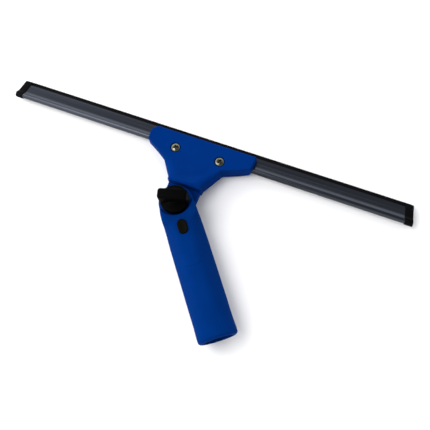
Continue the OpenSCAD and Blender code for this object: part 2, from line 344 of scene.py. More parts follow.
def rounded_outline(corners, step):
    """A closed outline from (x, y, radius) corners: arcs that touch both sides, in equal steps."""
    corners = np.array(corners, float)
    path = []
    for before, here, after in zip(np.roll(corners, 1, 0), corners, np.roll(corners, -1, 0)):
        way_back, way_on = before[:2] - here[:2], after[:2] - here[:2]
        way_back, way_on = way_back / np.linalg.norm(way_back), way_on / np.linalg.norm(way_on)
        half = 0.5 * math.acos(np.clip(way_back @ way_on, -1, 1))
        middle = (way_back + way_on) / np.linalg.norm(way_back + way_on)
        centre = here[:2] + middle * here[2] / math.sin(half)
        start, end = (here[:2] + way * here[2] / math.tan(half) - centre for way in (way_back, way_on))
        first = math.atan2(start[1], start[0])
        sweep = (math.atan2(end[1], end[0]) - first + math.pi) % (2 * math.pi) - math.pi
        angle = first + sweep * np.linspace(0, 1, 12)
        path.append(centre + here[2] * np.stack([np.cos(angle), np.sin(angle)], -1))
    return equal_steps(np.vstack(path), step=step)


def slab(name, outline, centre, top, bottom, place, edge=1.2, foot=0.4, lean=0.0, rows=40):
    """A closed solid on a plan outline; top and bottom are functions of x and y.

    A rounded edge of radius r is inset r(1 - cos a) and lowered r(1 - sin a) while a goes from 0 to 90
    degrees. Insets are measured square to the outline but made along the way to the centre, so rings never
    cross. Both radii may be one number or one for each point of the outline. The side leans in by `lean` mm
    for each mm of height.
    """
    outline = np.array(outline, float)
    along = np.roll(outline, -1, 0) - np.roll(outline, 1, 0)
    along /= np.linalg.norm(along, axis=1)[:, None]
    inward = np.stack([-along[:, 1], along[:, 0]], -1)
    to_centre = np.array(centre) - outline
    if (inward * to_centre).sum() < 0:
        inward = -inward
    length = np.linalg.norm(to_centre, axis=1)[:, None]
    unit = to_centre / length
    slant = np.maximum((unit * inward).sum(1), 0.3)[:, None]
    edge, foot = (np.broadcast_to(radius, len(outline)).astype(float) for radius in (edge, foot))

    def ring(inset, level, drop):
        plan = outline + unit * inset[:, None] / slant
        return np.column_stack([plan, level(plan[:, 0], plan[:, 1]) + drop])

    def spread(inset, level):
        start = outline + unit * inset[:, None] / slant
        for share in np.linspace(0, 1, rows + 1)[1:-1]:
            plan = start + (np.array(centre) - start) * share
            yield np.column_stack([plan, level(plan[:, 0], plan[:, 1])])

    turns = np.radians(np.linspace(0, 90, 7))
    rise = top(outline[:, 0], outline[:, 1]) - bottom(outline[:, 0], outline[:, 1])
    lean_in = lean * rise
    lower = [ring(foot * (1 - math.cos(a)), bottom, foot * (1 - math.sin(a))) for a in turns]
    upper = [ring(lean_in + edge * (1 - math.cos(a)), top, -edge * (1 - math.sin(a))) for a in turns]
    sides = [lower[0] + (upper[0] - lower[0]) * share for share in (0.25, 0.5, 0.75)]
    under = list(spread(foot, bottom))
    over = list(spread(lean_in + edge, top))
    return shell(name, under[::-1] + lower[::-1] + sides + upper + over, place)


def level(height):
    """A flat top or bottom at one height."""
    return lambda x, y: np.full(np.shape(x), float(height))


def oval(length, width, centre_y, step):
    """An outline with round ends, long along Y."""
    half, low, high = width / 2, centre_y - length / 2, centre_y + length / 2
    corner = half * FULL_ROUND
    return rounded_outline([(-half, low, corner), (half, low, corner), (half, high, corner),
                            (-half, high, corner)], step)


print("outline tools ready")

# %% [markdown]
# ## The grip
# The grip is one long moulding. It starts as the flat fork round the swivel, rises behind the knob into a
# crown, and goes on as a hand-filling bar with a flat top, sloping sides and soft edges. Its last stretch
# is round, and its end is open: a pole pushes in there. It is a loft: a section is worked out at each
# distance below the swivel. A section is a rounded polygon, found as the length at which the "p-norm" of
# the distances to all its flats reaches one. A high p gives crisp edges, a low one soft.

# %% Grip section
EAR_R = 14.5
EAR_HALF = 14.1
EAR_TOP = 20.4
GRIP_R = GRIP_Z
SOCKET_R = SOCKET["dims"]["r_mm"]
SOCKET_FROM = HANDLE_LEN - SOCKET["dims"]["length_mm"]
TIP_ROUND = 0.35
NOSE_R = 6.3
NOSE_FROM = 20.4
END_ROUND = 2.5
SCOOP_R = 12.4
SCOOP_RAMP = 1.3
CRISPNESS = 9
SIDE_FILL = 0.75
SLOPE_NORMAL = math.radians(55)
GRIP_COLUMNS = 256
WAIST, END_SLIM = 0.4, 0.2
FORK_FOOT = 0.8


def grip_section(s, around):
    """Section points (x, z) of the grip at distances s below the swivel axis.

    A ray at angle `around` is stretched by the section's half width and half height. It is then cut at
    1 / (sum of (share of the way to each flat)^p)^(1/p), over two flats across, two up and down and four
    sloping ones. The slopes take some of the width away, and most of it is given back by SIDE_FILL. Towards
    the open end the result turns into a circle. Round the knob the section is squeezed down to the level of
    the fork's top, which leaves a steep round wall: the scoop that the knob turns in.
    """
    fork_half = EAR_HALF * np.sqrt(np.maximum(1 - (s / EAR_R) ** 2, 0.0001))
    bar_half = eased(s, [(0, EAR_HALF), (14.9, 14.7), (20, 15.1), (27, 15.35), (36, GRIP_R), (84, GRIP_R),
                         (98, GRIP_R - WAIST), (106, GRIP_R - END_SLIM), (120, GRIP_R - END_SLIM)], 1.5)
    plan_half = np.where(s < 0, fork_half, bar_half)
    tip = np.clip(TIP_ROUND - (s + EAR_R), 0, TIP_ROUND)
    tip_round = TIP_ROUND - np.sqrt(TIP_ROUND**2 - tip**2)
    top = eased(s, [(-20, EAR_TOP), (1, EAR_TOP), (7, 27.4), (14, 27.8), (20, 28.6), (36, 2 * GRIP_R),
                    (84, 2 * GRIP_R), (98, 2 * GRIP_R - WAIST), (106, 2 * GRIP_R - END_SLIM),
                    (120, 2 * GRIP_R - END_SLIM)], 1.3) - tip_round
    low = eased(s, [(-20, FORK_FOOT), (14, FORK_FOOT), (20, 0.3), (36, 0), (84, 0), (98, WAIST),
                    (106, END_SLIM), (120, END_SLIM)], 2) + 0.4 * tip_round
    slope_cut = eased(s, [(-20, 0.03), (13, 0.035), (20, 1 / 14.9), (34, 1 / 13.6), (120, 1 / 13.6)], 3)
    roundness = eased(s, [(-20, 0), (84, 0), (102, 1), (120, 1)], 4)
    half_high, middle = (top - low) / 2, (top + low) / 2
    ray_x = plan_half[:, None] * np.sin(around)
    ray_z = half_high[:, None] * np.cos(around)
    reach = np.abs(np.sin(around)) ** CRISPNESS + np.abs(np.cos(around)) ** CRISPNESS
    for way in (SLOPE_NORMAL, math.pi - SLOPE_NORMAL):
        for hand in (1, -1):
            facing = hand * ray_x * math.sin(way) + ray_z * math.cos(way)
            reach = reach + (np.maximum(facing, 0) * slope_cut[:, None]) ** CRISPNESS
    stretch = reach ** (-1 / CRISPNESS)
    stretch = stretch + (1 - stretch) * roundness[:, None]
    x, z = ray_x * stretch, middle[:, None] + ray_z * stretch
    lost_width = plan_half / np.abs(x).max(axis=1)
    x = x * (lost_width**SIDE_FILL)[:, None]
    share = np.clip((np.hypot(x, s[:, None]) - SCOOP_R) / SCOOP_RAMP, 0, 1)
    floor_level = EAR_TOP - tip_round[:, None]
    kept = floor_level + (top[:, None] - floor_level) * share**2 * (3 - 2 * share)
    z = low[:, None] + (z - low[:, None]) * (kept - low[:, None]) / (top - low)[:, None]
    return x, z


print("grip is", round(2 * GRIP_R, 1), "mm across")

# %% [markdown]
# The loft's rings sit close together where the shape changes fast: round the fork's tip, up the ramp behind
# the knob and across the shallow line that the mould leaves on top. Past the rim the rings turn back into
# the socket, so wall and socket are one closed skin.

# %% Grip rings
BUTTON_S = 24.7
SEAM_S, SEAM_DEPTH, SEAM_WIDTH, SEAM_BOW = 57, 0.22, 0.55, 0.03
LIP_ROUND = 0.3


def grip_rings():
    """All rings of the grip, from the fork's tip to the bottom of the socket's inner bore.

    The mould's line is a groove whose depth falls off as exp(-(distance / SEAM_WIDTH)^2).
    """
    around = np.linspace(0, 2 * math.pi, GRIP_COLUMNS, endpoint=False)
    tip = -EAR_R * np.cos(np.linspace(0.02, math.pi / 2, 26))
    stations = np.concatenate([tip, np.arange(0.5, 20, 0.36), np.arange(20, 40, 0.7), np.arange(40, 53, 1.3),
                               np.arange(53.5, 60.5, 0.25), np.arange(61, HANDLE_LEN - END_ROUND, 1.4)])
    x, z = grip_section(stations, around)
    seam = np.exp(-((stations[:, None] - SEAM_S + SEAM_BOW * x**2) / SEAM_WIDTH) ** 2)
    z = z - SEAM_DEPTH * (seam * np.clip((z - 26) / 4, 0, 1))
    outside = np.stack([x, np.broadcast_to(-stations[:, None], x.shape), z], -1)

    end_r = GRIP_R - END_SLIM
    rim = arc((end_r - END_ROUND, HANDLE_LEN - END_ROUND), END_ROUND, 0, 90, 9)
    lip = arc((SOCKET_R + LIP_ROUND, HANDLE_LEN - LIP_ROUND), LIP_ROUND, 90, 180, 5)
    inside = [(SOCKET_R, s) for s in (HANDLE_LEN - 20, HANDLE_LEN - 50, SOCKET_FROM)]
    inside += [(NOSE_R, SOCKET_FROM), (NOSE_R, NOSE_FROM)]
    radius, depth = np.vstack([rim, lip, inside]).T
    round_x = radius[:, None] * np.sin(around)
    round_z = GRIP_Z + radius[:, None] * np.cos(around)
    rounds = np.stack([round_x, np.broadcast_to(-depth[:, None], round_x.shape), round_z], -1)
    return np.concatenate([outside, rounds])


GRIP_RINGS = grip_rings()
print("grip has", len(GRIP_RINGS), "rings of", GRIP_COLUMNS, "points")

# %% [markdown]
# The fork's gap, the bolt's hole with its hexagonal pocket and the latch's slots are cut out of the loft, as
# sliding cores would leave them in the mould. The cover that closes the latch slot is the piece of the same
# loft that the slot takes away, so its underside runs on from the grip's.

# %% Grip and latch cover
FORK_LOW, FORK_HIGH = 6.4, 14.0
SLOT_S = 14.8
BOLT_LOW, BOLT_TOP = heights("pivot_bolt")
COVER_TOP = heights("latch_cover")[1]
PLATE_LOW = heights("latch_plate")[0]
BUTTON_LOW, BUTTON_TOP = heights("lock_button")
BOLT_HOLE_R, HEX_R, HEX_DEPTH = 3.15, 5.9, 2.8
BUTTON_LENGTH, BUTTON_WIDTH, BUTTON_PLAY = 12.0, 7.3, 0.3
SLIDE_X, SLIDE_S = 8.9, 1.35
DOOR_X, DOOR_S = 9.4, 4.6
DOOR_PLAY = 0.15
FAR = 60


def latch_block(half_x, half_s, low, high):
    """A cutter centred on the button, given by its half sizes and its levels."""
    return block((-half_x, -BUTTON_S - half_s, low), (half_x, -BUTTON_S + half_s, high), from_handle)


hole_outline = oval(BUTTON_LENGTH + BUTTON_PLAY, BUTTON_WIDTH + BUTTON_PLAY, -BUTTON_S, 0.5)
button_hole = slab("tool", hole_outline, (0, -BUTTON_S), level(FAR), level(BUTTON_LOW - 3), from_handle,
                   edge=0.1, foot=0.1, rows=4)
grip = shell("grip", GRIP_RINGS, from_handle)
carve(grip,
      block((-FAR, -SLOT_S, FORK_LOW), (FAR, FAR, FORK_HIGH), from_handle),
      drill(BOLT_HOLE_R, -1, FAR, from_handle),
      drill(HEX_R, -1, BOLT_LOW + HEX_DEPTH, from_handle, columns=6),
      button_hole,
      latch_block(SLIDE_X, SLIDE_S, COVER_TOP - 0.4, BUTTON_LOW + 0.3),
      drill(2.6, -1, PLATE_LOW + 1, from_handle, centre=(0, -BUTTON_S)),
      latch_block(DOOR_X, DOOR_S, -1, COVER_TOP))

cover = shell("latch_door", GRIP_RINGS, from_handle)
door_shape = latch_block(DOOR_X - DOOR_PLAY, DOOR_S - DOOR_PLAY, -1, COVER_TOP - 0.05)
carve(cover, door_shape, operation="INTERSECT")
carve(cover, drill(2.4, 1.2, 10, from_handle, centre=(0, -BUTTON_S)))
print("grip", len(grip.data.polygons), "faces, cover", len(cover.data.polygons), "faces")

# %% [markdown]
# ## The head's front jaw
# The jaw is a wide flat panel for the screws. Below it the surface swells into the neck, which rises to
# the knob. The panel's lower border is a soft U: inside it the top is flat, outside it the top climbs in
# the middle and falls off as a chamfer along the wings.

# %% Jaw outline and top
STEP_Y = 15.1
WING_X = 45.3
FRONT_Y = 59.2
PANEL_Z = 16.0
NECK_Z = 20.7
NECK_RISE, NECK_ROUND = 0.25, 0.008
PANEL_LIFT = 1.5
FRONT_FALL = 0.12


def jaw_top(x, y):
    """Height of the front jaw's top.

    The panel is level and lifts gently towards the neck. `below` is how far a point lies behind the
    panel's U-shaped border, softened near zero. Behind the border the top rises by `climb` mm for each
    mm: positive near the middle, nothing at the neck's edges and negative along the wings. The neck's
    crown, a shallow arch across, is the upper limit.
    """
    away = np.abs(x)
    border = eased(away, [(0, 24), (6, 25.6), (12, 29.5), (18, 33.5), (26, 37.3), (36, 41), (50, 45.5)], 2)
    below = border - y
    below = 0.5 * (below + np.sqrt(below**2 + 1.0)) - 0.02
    climb = eased(away, [(0, 0.6), (7, 0.46), (12, 0.22), (16, 0), (20, -0.3), (26, -0.7), (50, -0.8)], 2)
    panel = PANEL_Z + PANEL_LIFT * eased(y, [(0, 1), (22, 1), (37, 0), (80, 0)], 3)
    front = FRONT_FALL * np.maximum(y - 54, 0)
    crown = NECK_Z + NECK_RISE * (y - STEP_Y) - NECK_ROUND * np.minimum(away, 16) ** 2
    return np.minimum(panel + climb * below, crown) - front


right_side = [(14, STEP_Y, 1), (14.9, 18.6, 4), (19.6, 27.6, 14), (23.9, 37.2, 3), (36, 42.0, 30),
              (WING_X + 0.6, 46.6, 2), (WING_X + 2.2, FRONT_Y, 1.8)]
left_side = [(-41.5, FRONT_Y, 5), (-WING_X - 0.6, 54.5, 5), (-WING_X, 44.8, 2.5), (-36, 39.8, 30),
             (-27, 34.4, 7), (-22, 27.2, 18), (-15.6, 18.7, 4), (-14, STEP_Y, 1)]
jaw_outline = rounded_outline(right_side + left_side, 0.7)
jaw_edge = eased(jaw_outline[:, 1], [(15, 0.25), (16.4, 0.4), (19, 3.0), (26, 3.4), (33, 2.0), (40, 1.2),
                                     (70, 1.2)], 1)
jaw_foot = eased(jaw_outline[:, 1], [(15, 6.5), (24, 6.5), (33, 4.0), (37, 1.5), (70, 0.5)], 1)
head = slab("front_jaw", jaw_outline, (0, 42), jaw_top, level(0.8), from_head, edge=jaw_edge, foot=jaw_foot,
            lean=0.03, rows=62)
print("front jaw", len(head.data.polygons), "faces")

# %% [markdown]
# The tongue is a thick round tab that goes into the fork. It is joined on, and then the bed of the
# channel, the seats of the screws and the bush's hole are cut. A screw's seat gets a cutter with a flared
# mouth, which leaves a rounded rim instead of a sharp one.

# %% Tongue, beds and screw seats
TONGUE_LOW, TONGUE_HIGH = heights("tongue_bush")
TONGUE_R = EAR_R - 0.9
TONGUE_TO_Y = 17.5
BUSH_HOLE_R = 5.05
BED_FROM_Y = 33.9
SCREW_X, SCREW_Y = 19.5, 44.8
SEAT_R, SEAT_ROUND = 4.3, 0.5
SHANK_HOLE_R = 2.1
SEAT_Z = 14.0
MID_Z = 6.5
TUBE_Y, TUBE_R = 50.2, 2.75
LIP_HALF = 1.8
SNUG = 0.06


def along_x(name, section, x_low, x_high, place):
    """A bar along X: a ring of (y, z) points carried from one x to another."""
    section = np.array(section, float)
    rings = [np.column_stack([np.full(len(section), x), section]) for x in (x_low, x_high)]
    return shell(name, rings, place)


def bed_tools():
    """Cutters for the channel's bed: its tube and its two lips."""
    tube = along_x("tool", arc((TUBE_Y, MID_Z), TUBE_R + SNUG, 0, 360, 49)[:-1], -FAR, FAR, from_head)
    lips = block((-FAR, TUBE_Y, MID_Z - LIP_HALF - SNUG), (FAR, TUBE_Y + FAR, MID_Z + LIP_HALF + SNUG),
                 from_head)
    return [tube, lips]


round_end = TONGUE_R * FULL_ROUND
tongue_outline = rounded_outline([(-TONGUE_R, TONGUE_TO_Y, 0.5), (-TONGUE_R, -TONGUE_R, round_end),
                                  (TONGUE_R, -TONGUE_R, round_end), (TONGUE_R, TONGUE_TO_Y, 0.5)], 0.7)
tongue = slab("tongue", tongue_outline, (0, 1), level(TONGUE_HIGH), level(TONGUE_LOW), from_head,
              edge=0.4, foot=0.4, rows=8)
carve(head, tongue, operation="UNION")
seat_cutter = np.vstack([[(SEAT_R, SEAT_Z), (SEAT_R, PANEL_Z - 0.55)],
                         arc((SEAT_R + SEAT_ROUND, PANEL_Z - 0.47), SEAT_ROUND, 180, 96, 6),
                         [(SEAT_R + SEAT_ROUND, PANEL_Z + 6)]])
for hand in (-1, 1):
    spot = (hand * SCREW_X, SCREW_Y)
    carve(head, turned("tool", seat_cutter, from_head, spot),
          drill(SHANK_HOLE_R, -1, SEAT_Z + 1, from_head, spot, 32))
carve(head, drill(BUSH_HOLE_R, 0, TONGUE_HIGH + 0.5, from_head),
      block((-FAR, BED_FROM_Y, -5), (FAR, FAR + 10, MID_Z), from_head), *bed_tools())
print("front jaw now", len(head.data.polygons), "faces")

# %% [markdown]
# ## The rear jaw
# A flat plate behind the channel. Two nuts sit in hexagonal pockets in its back, and the screws pull it
# against the front jaw, which pinches the channel between them.

# %% Rear jaw
NUT_POCKET_R, NUT_POCKET_TOP = 4.15, 3.65
BACK_Y = 58.6
back_right = [(21.9, 34.2, 1), (23.6, 37.6, 2), (36, 42.8, 25), (WING_X - 0.4, 47.2, 3),
              (WING_X - 0.4, 56, 3), (WING_X - 3, BACK_Y, 3)]
back_left = [(-WING_X + 5, BACK_Y, 3), (-WING_X + 0.8, 55, 4), (-WING_X + 0.6, 45.8, 3), (-36, 40.6, 25),
             (-26, 34.2, 2)]
back_outline = rounded_outline(back_right + back_left, 0.8)
rear = slab("back_jaw", back_outline, (0, 46), level(MID_Z), level(0), from_head, edge=0.15, foot=2.2,
            rows=16)
carve(rear, *bed_tools())
for hand in (-1, 1):
    spot = (hand * SCREW_X, SCREW_Y)
    carve(rear, drill(SHANK_HOLE_R, -1, MID_Z + 1, from_head, spot, 32),
          drill(NUT_POCKET_R, -1, NUT_POCKET_TOP, from_head, spot, 6))
print("rear jaw", len(rear.data.polygons), "faces")

# %% [markdown]
# ## The knob
# A disc with a raised thumb bar across it. The disc is turned. The bar is a slab with a strongly
# rounded top and sides that lean in, and the two are joined. Underneath are a recess over the washers, the
# hexagonal bed of the threaded insert and room for the bolt's end.

# %% Knob
KNOB_LOW, KNOB_TOP = heights("knob")
INSERT_LOW, INSERT_TOP = heights("knob_insert")
KNOB_R = 11.6
DISC_Z = 28.0
BAR_TURN = math.radians(-22.4)
BAR_X, BAR_Y, BAR_CORNER = 11.7, 4.5, 2.3
WASHER_ROOM_R, INSERT_BED_R, BOLT_ROOM_R = 8.8, 5.02, 3.3


def from_knob(points):
    """Knob frame, its bar along X, to the shared frame."""
    return from_handle(spun(points, BAR_TURN))


def bar_top(x, y):
    """The bar's top: a shallow arch along it and a stronger one across."""
    return KNOB_TOP - 0.004 * x**2 - 0.02 * y**2


disc_profile = np.vstack([[(1, KNOB_LOW), (KNOB_R - 2, KNOB_LOW)],
                          arc((KNOB_R - 2, KNOB_LOW + 0.5), 0.5, -80, -30, 4),
                          arc((KNOB_R - 0.6, KNOB_LOW + 3.2), 0.6, -25, 0, 4),
                          arc((KNOB_R - 1.5, DISC_Z - 1.5), 1.5, 0, 84, 8),
                          [(radius, DISC_Z + rise) for radius, rise in
                           ((9.2, 0.25), (7.6, 0.9), (6.6, 2), (5.9, 3.4), (5, 4.6), (3, 5.2), (1, 5.3))]])
knob = turned("swivel_knob", disc_profile, from_knob, columns=144)
bar_outline = rounded_outline([(x * BAR_X, y * BAR_Y, BAR_CORNER)
                               for x, y in ((-1, -1), (1, -1), (1, 1), (-1, 1))], 0.35)
bar = slab("thumb_bar", bar_outline, (0, 0), bar_top, level(DISC_Z - 2), from_knob, edge=1.5, foot=0.1,
           lean=0.02, rows=10)
carve(knob, bar, operation="UNION")
carve(knob, drill(WASHER_ROOM_R, 0, INSERT_LOW, from_knob),
      drill(INSERT_BED_R, INSERT_LOW - 1, INSERT_TOP, from_knob, columns=6),
      drill(BOLT_ROOM_R, 0, BOLT_TOP + 2, from_knob))
print("knob", len(knob.data.polygons), "faces")

# %% [markdown]
# ## The lock button
# A small oval button with a shallow finger dish. Pressing it slides the latch plate and frees the pole.

# %% Lock button
DISH = 0.45


def button_top(x, y):
    """The button's top: level at the rim, dipping in the middle like a shallow bowl."""
    share = np.clip((2 * x / BUTTON_WIDTH) ** 2 + (2 * (y + BUTTON_S) / BUTTON_LENGTH) ** 2, 0, 1)
    return BUTTON_TOP - DISH * (1 - share) ** 1.5


button_outline = oval(BUTTON_LENGTH, BUTTON_WIDTH, -BUTTON_S, 0.3)
button = slab("release_button", button_outline, (0, -BUTTON_S), button_top, level(BUTTON_LOW), from_handle,
              edge=0.8, foot=0.2, rows=14)
carve(button, latch_block(2.5, 1.2, BUTTON_LOW - 1, BUTTON_LOW + 3))
print("button", len(button.data.polygons), "faces")

# %% [markdown]
# ## The channel
# The channel is one aluminium extrusion: a round tube behind, two flat lips in front, and a gap between the
# lips for the rubber. Its section is a pair of lines, one outside and one inside, with the same number of
# points. The section is carried along X. The ends are cut at a slant, so each point has its own length.

# %% Channel
REACH = 64.0
LIP_Y = 60.6
METAL = 0.8
BLADE_HALF = 175.0
MITRE = 3 / (REACH - TUBE_Y)
CAP_WALL = 1.4
END_GAP = 0.1


def end_x(y, back_off):
    """How far out the slanted end lies at y, drawn back by a distance."""
    return BLADE_HALF + MITRE * (REACH - y) - back_off


def slanted_bar(line, back_off, count):
    """A (y, z) line carried along X, out to both slanted ends."""
    stations = np.linspace(-1, 1, count)
    x = stations[:, None] * end_x(line[:, 0], back_off)
    return np.stack([x, np.tile(line[:, 0], (count, 1)), np.tile(line[:, 1], (count, 1))], -1)


def channel_line(tube_r, lip_half, neck):
    """One line of the section: the lower lip, the tube's back and the upper lip.

    The tube's arc stops `neck` degrees short of the lips, which eases the corner between them.
    """
    meet = math.degrees(math.asin(min(lip_half / tube_r, 1)))
    tube = arc((TUBE_Y, MID_Z), tube_r, -meet - neck, -360 + meet + neck, 40)
    lower = [(y, MID_Z - lip_half) for y in (LIP_Y, LIP_Y - 4, TUBE_Y + tube_r + 0.6)]
    upper = [(y, 2 * MID_Z - z) for y, z in reversed(lower)]
    return np.vstack([lower, tube, upper])


outer_line = channel_line(TUBE_R, LIP_HALF, 6)
inner_line = channel_line(TUBE_R - METAL, LIP_HALF - METAL, 3)


def extrusion(name, outer, inner, back_off, place):
    """A bar with a C-shaped section: both lines and the strips between them, at both slanted ends."""
    rings = slanted_bar(np.vstack([outer, inner[::-1]]), back_off, 9)
    rows, columns = rings.shape[:2]
    number = np.arange(rows * columns).reshape(rows, columns)
    this, following = number[:-1], number[1:]
    quads = np.stack([this, following, np.roll(following, -1, 1), np.roll(this, -1, 1)], -1).reshape(-1, 4)
    near = np.arange(len(outer) - 1)
    first = np.stack([near, near + 1, columns - 2 - near, columns - 1 - near], -1)
    last = first[:, ::-1] + (rows - 1) * columns
    no_fans = np.zeros((0, 3), int)
    return closed_piece(name, rings.reshape(-1, 3), np.vstack([quads, first, last]), no_fans, place)


channel = extrusion("blade_channel", outer_line, inner_line, CAP_WALL + END_GAP, from_head)
print("channel", len(channel.data.polygons), "faces")

# %% [markdown]
# ## The rubber
# A strip with a bead that slides into the tube. Its two wiping edges are kept crisp, with only a
# hair's breadth of rounding, because they do the work.

# %% Rubber
WEB_HALF = 0.95
KEEN = 0.12
bead_r = TUBE_R - METAL - 0.05
bead_meet = math.degrees(math.asin(WEB_HALF / bead_r))
rubber_line = np.vstack([[(REACH - KEEN, MID_Z - WEB_HALF), (TUBE_Y + 6, MID_Z - WEB_HALF)],
                         arc((TUBE_Y, MID_Z), bead_r, -bead_meet, -360 + bead_meet, 28),
                         [(TUBE_Y + 6, MID_Z + WEB_HALF), (REACH - KEEN, MID_Z + WEB_HALF),
                          (REACH, MID_Z + WEB_HALF - KEEN), (REACH, MID_Z - WEB_HALF + KEEN)]])
rubber = shell("wiping_rubber", slanted_bar(rubber_line, CAP_WALL + END_GAP, 15), from_head)
print("rubber", len(rubber.data.polygons), "faces")

# %% [markdown]
# ## The end caps
# Moulded caps keep the rubber from sliding out. A cap is a sleeve with a closed end: its rings start at the
# inner face of the end wall, come out along the channel, turn over the rim and run back to the outer face.

# %% End caps
CAP_W = 6.6
CAP_SKIN = 0.6
CAP_BACK = 1.2
CAP_BEND = 0.4
STUB_R, STUB_ROUND, STUB_LENGTH, STUB_SHORT = 2.1, 0.5, 4, 1.8


def cap_line(grow):
    """The channel's outside grown by `grow`: half a tube behind and a flat tongue in front, as one ring."""
    lip = LIP_HALF + grow
    tube = TUBE_R + grow
    meet = math.degrees(math.asin(lip / tube))
    bend_y = REACH - CAP_BACK + grow - CAP_BEND
    return equal_steps(np.vstack([arc((bend_y, MID_Z - lip + CAP_BEND), CAP_BEND, 0, -90, 5),
                                  arc((TUBE_Y, MID_Z), tube, -meet, -360 + meet, 40),
                                  arc((bend_y, MID_Z + lip - CAP_BEND), CAP_BEND, 90, 0, 5)]), count=64)


def end_cap(name, hand):
    """A cap on one end of the channel; hand is -1 on the left and 1 on the right."""
    inside = [(SNUG, CAP_WALL), (SNUG, CAP_W)]
    rim = [(0.35, CAP_W), (CAP_SKIN - 0.08, CAP_W - 0.08), (CAP_SKIN, CAP_W - 0.3)]
    outside = [(CAP_SKIN, 1.5), (CAP_SKIN, 0.5), (CAP_SKIN - 0.12, 0.18), (CAP_SKIN - 0.45, 0.02)]
    rings = []
    for grow, back_off in inside + rim + outside:
        line = cap_line(grow)
        rings.append(np.column_stack([hand * end_x(line[:, 0], back_off), line]))
    return shell(name, rings, from_head)


left_cap = end_cap("left_cap", -1)
right_cap = end_cap("right_cap", 1)
stub_out = -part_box("end_cap_left")[0].x / MM + PIVOT[0] - STUB_SHORT
stub_edge = arc((STUB_R - STUB_ROUND, stub_out - STUB_ROUND), STUB_ROUND, 0, 90, 5)
stub_r, stub_x = np.vstack([[(STUB_R, stub_out - STUB_LENGTH)], stub_edge, [(0.2, stub_out)]]).T[:, :, None]
angle = np.linspace(0, 2 * math.pi, 40, endpoint=False)
stub_y = TUBE_Y + stub_r * np.cos(angle)
stub_z = MID_Z + stub_r * np.sin(angle)
stub = shell("stub", np.stack([np.broadcast_to(-stub_x, stub_y.shape), stub_y, stub_z], -1), from_head)
carve(left_cap, stub, operation="UNION")
print("caps", len(left_cap.data.polygons), "and", len(right_cap.data.polygons), "faces")

# %% [markdown]
# ## The screws
# Two cross-head screws, bright from plating. The head is turned with a slight dome. The cross is cut with
# two blades that narrow with depth, as the punch does it.

# %% Screws
HEAD_R, HEAD_TOP = 3.75, heights("jaw_screws")[1]
SHANK_R = 2.0
DOME = 1.1
shank = [(1.2, 0.4), (1.7, 0.4), (SHANK_R, 0.7), (SHANK_R, SEAT_Z)]
head_side = [(HEAD_R - 0.2, SEAT_Z), (HEAD_R, SEAT_Z + 0.2), (HEAD_R, HEAD_TOP - DOME)]
dome = [(HEAD_R * math.sin(a), HEAD_TOP - DOME + DOME * math.cos(a)) for a in
        np.radians([75, 60, 45, 30, 18, 8])]
screw_profile = np.vstack([shank, head_side, dome])


def cross_blade(spot, turn):
    """One blade of the cross: a bar that is wide at the top and narrow and short at the bottom."""
    levels = [(HEAD_TOP - 1.9, 1.0, 0.25), (HEAD_TOP - 0.8, 2.1, 0.62), (HEAD_TOP + 1, 2.5, 0.8)]
    rings = []
    for z, long, wide in levels:
        corners = spun([(-long, -wide), (long, -wide), (long, wide), (-long, wide)], turn) + spot
        rings.append(np.column_stack([corners, np.full(4, z)]))
    return shell("tool", rings, from_head)


screws = None
for hand, turn in ((-1, 0.5), (1, 1.1)):
    spot = (hand * SCREW_X, SCREW_Y)
    screw = turned("clamp_screws", screw_profile, from_head, spot, 64)
    carve(screw, cross_blade(spot, turn), cross_blade(spot, turn + math.pi / 2))
    screws = screw if screws is None else carve(screws, screw, operation="UNION")
print("screws", len(screws.data.polygons), "faces")

# %% [markdown]
# ## Finishes
# Moulded plastic is never quite even: it has a fine grain from the mould's surface, slow changes of shade
# and some scuffs. Drawn metal has fine lines along one direction. Three node groups make these effects, and
# each finish uses its own values. Noise is read from object coordinates in metres, so a scale of 1000 is
# one cell per millimetre.

# %% Node groups
def new_group(name, inputs, outputs):
    """An empty shader node group with named inputs and outputs."""
    group = bpy.data.node_groups.new(name, "ShaderNodeTree")
    for socket, kind, value in inputs:
        made = group.interface.new_socket(name=socket, in_out="INPUT", socket_type=kind)
        if value is not None:
            made.default_value = value
    for socket, kind in outputs:
        group.interface.new_socket(name=socket, in_out="OUTPUT", socket_type=kind)
    return group, group.nodes.new("NodeGroupInput"), group.nodes.new("NodeGroupOutput")


def grain_group():
    """Fine mould grain as a height, and a slow mottle from 0 to 1."""
    group, given, out = new_group(
        "mould_grain", [("Vector", "NodeSocketVector", None), ("Size", "NodeSocketFloat", 2500.0)],
        [("Height", "NodeSocketFloat"), ("Mottle", "NodeSocketFloat")])
    where, size = given.outputs["Vector"], given.outputs["Size"]
    fine = add(group, "ShaderNodeTexNoise", [("Vector", where), ("Scale", size), ("Detail", 2.0),
                                             ("Roughness", 0.6)])
    slow = add(group, "ShaderNodeTexNoise", [("Vector", where), ("Scale", 60.0), ("Detail", 3.0)])
    spread = add(group, "ShaderNodeMapRange", [("Value", slow.outputs["Fac"]), ("From Min", 0.3),
                                               ("From Max", 0.7)])
    group.links.new(fine.outputs["Fac"], out.inputs["Height"])
    group.links.new(spread.outputs["Result"], out.inputs["Mottle"])
    return group


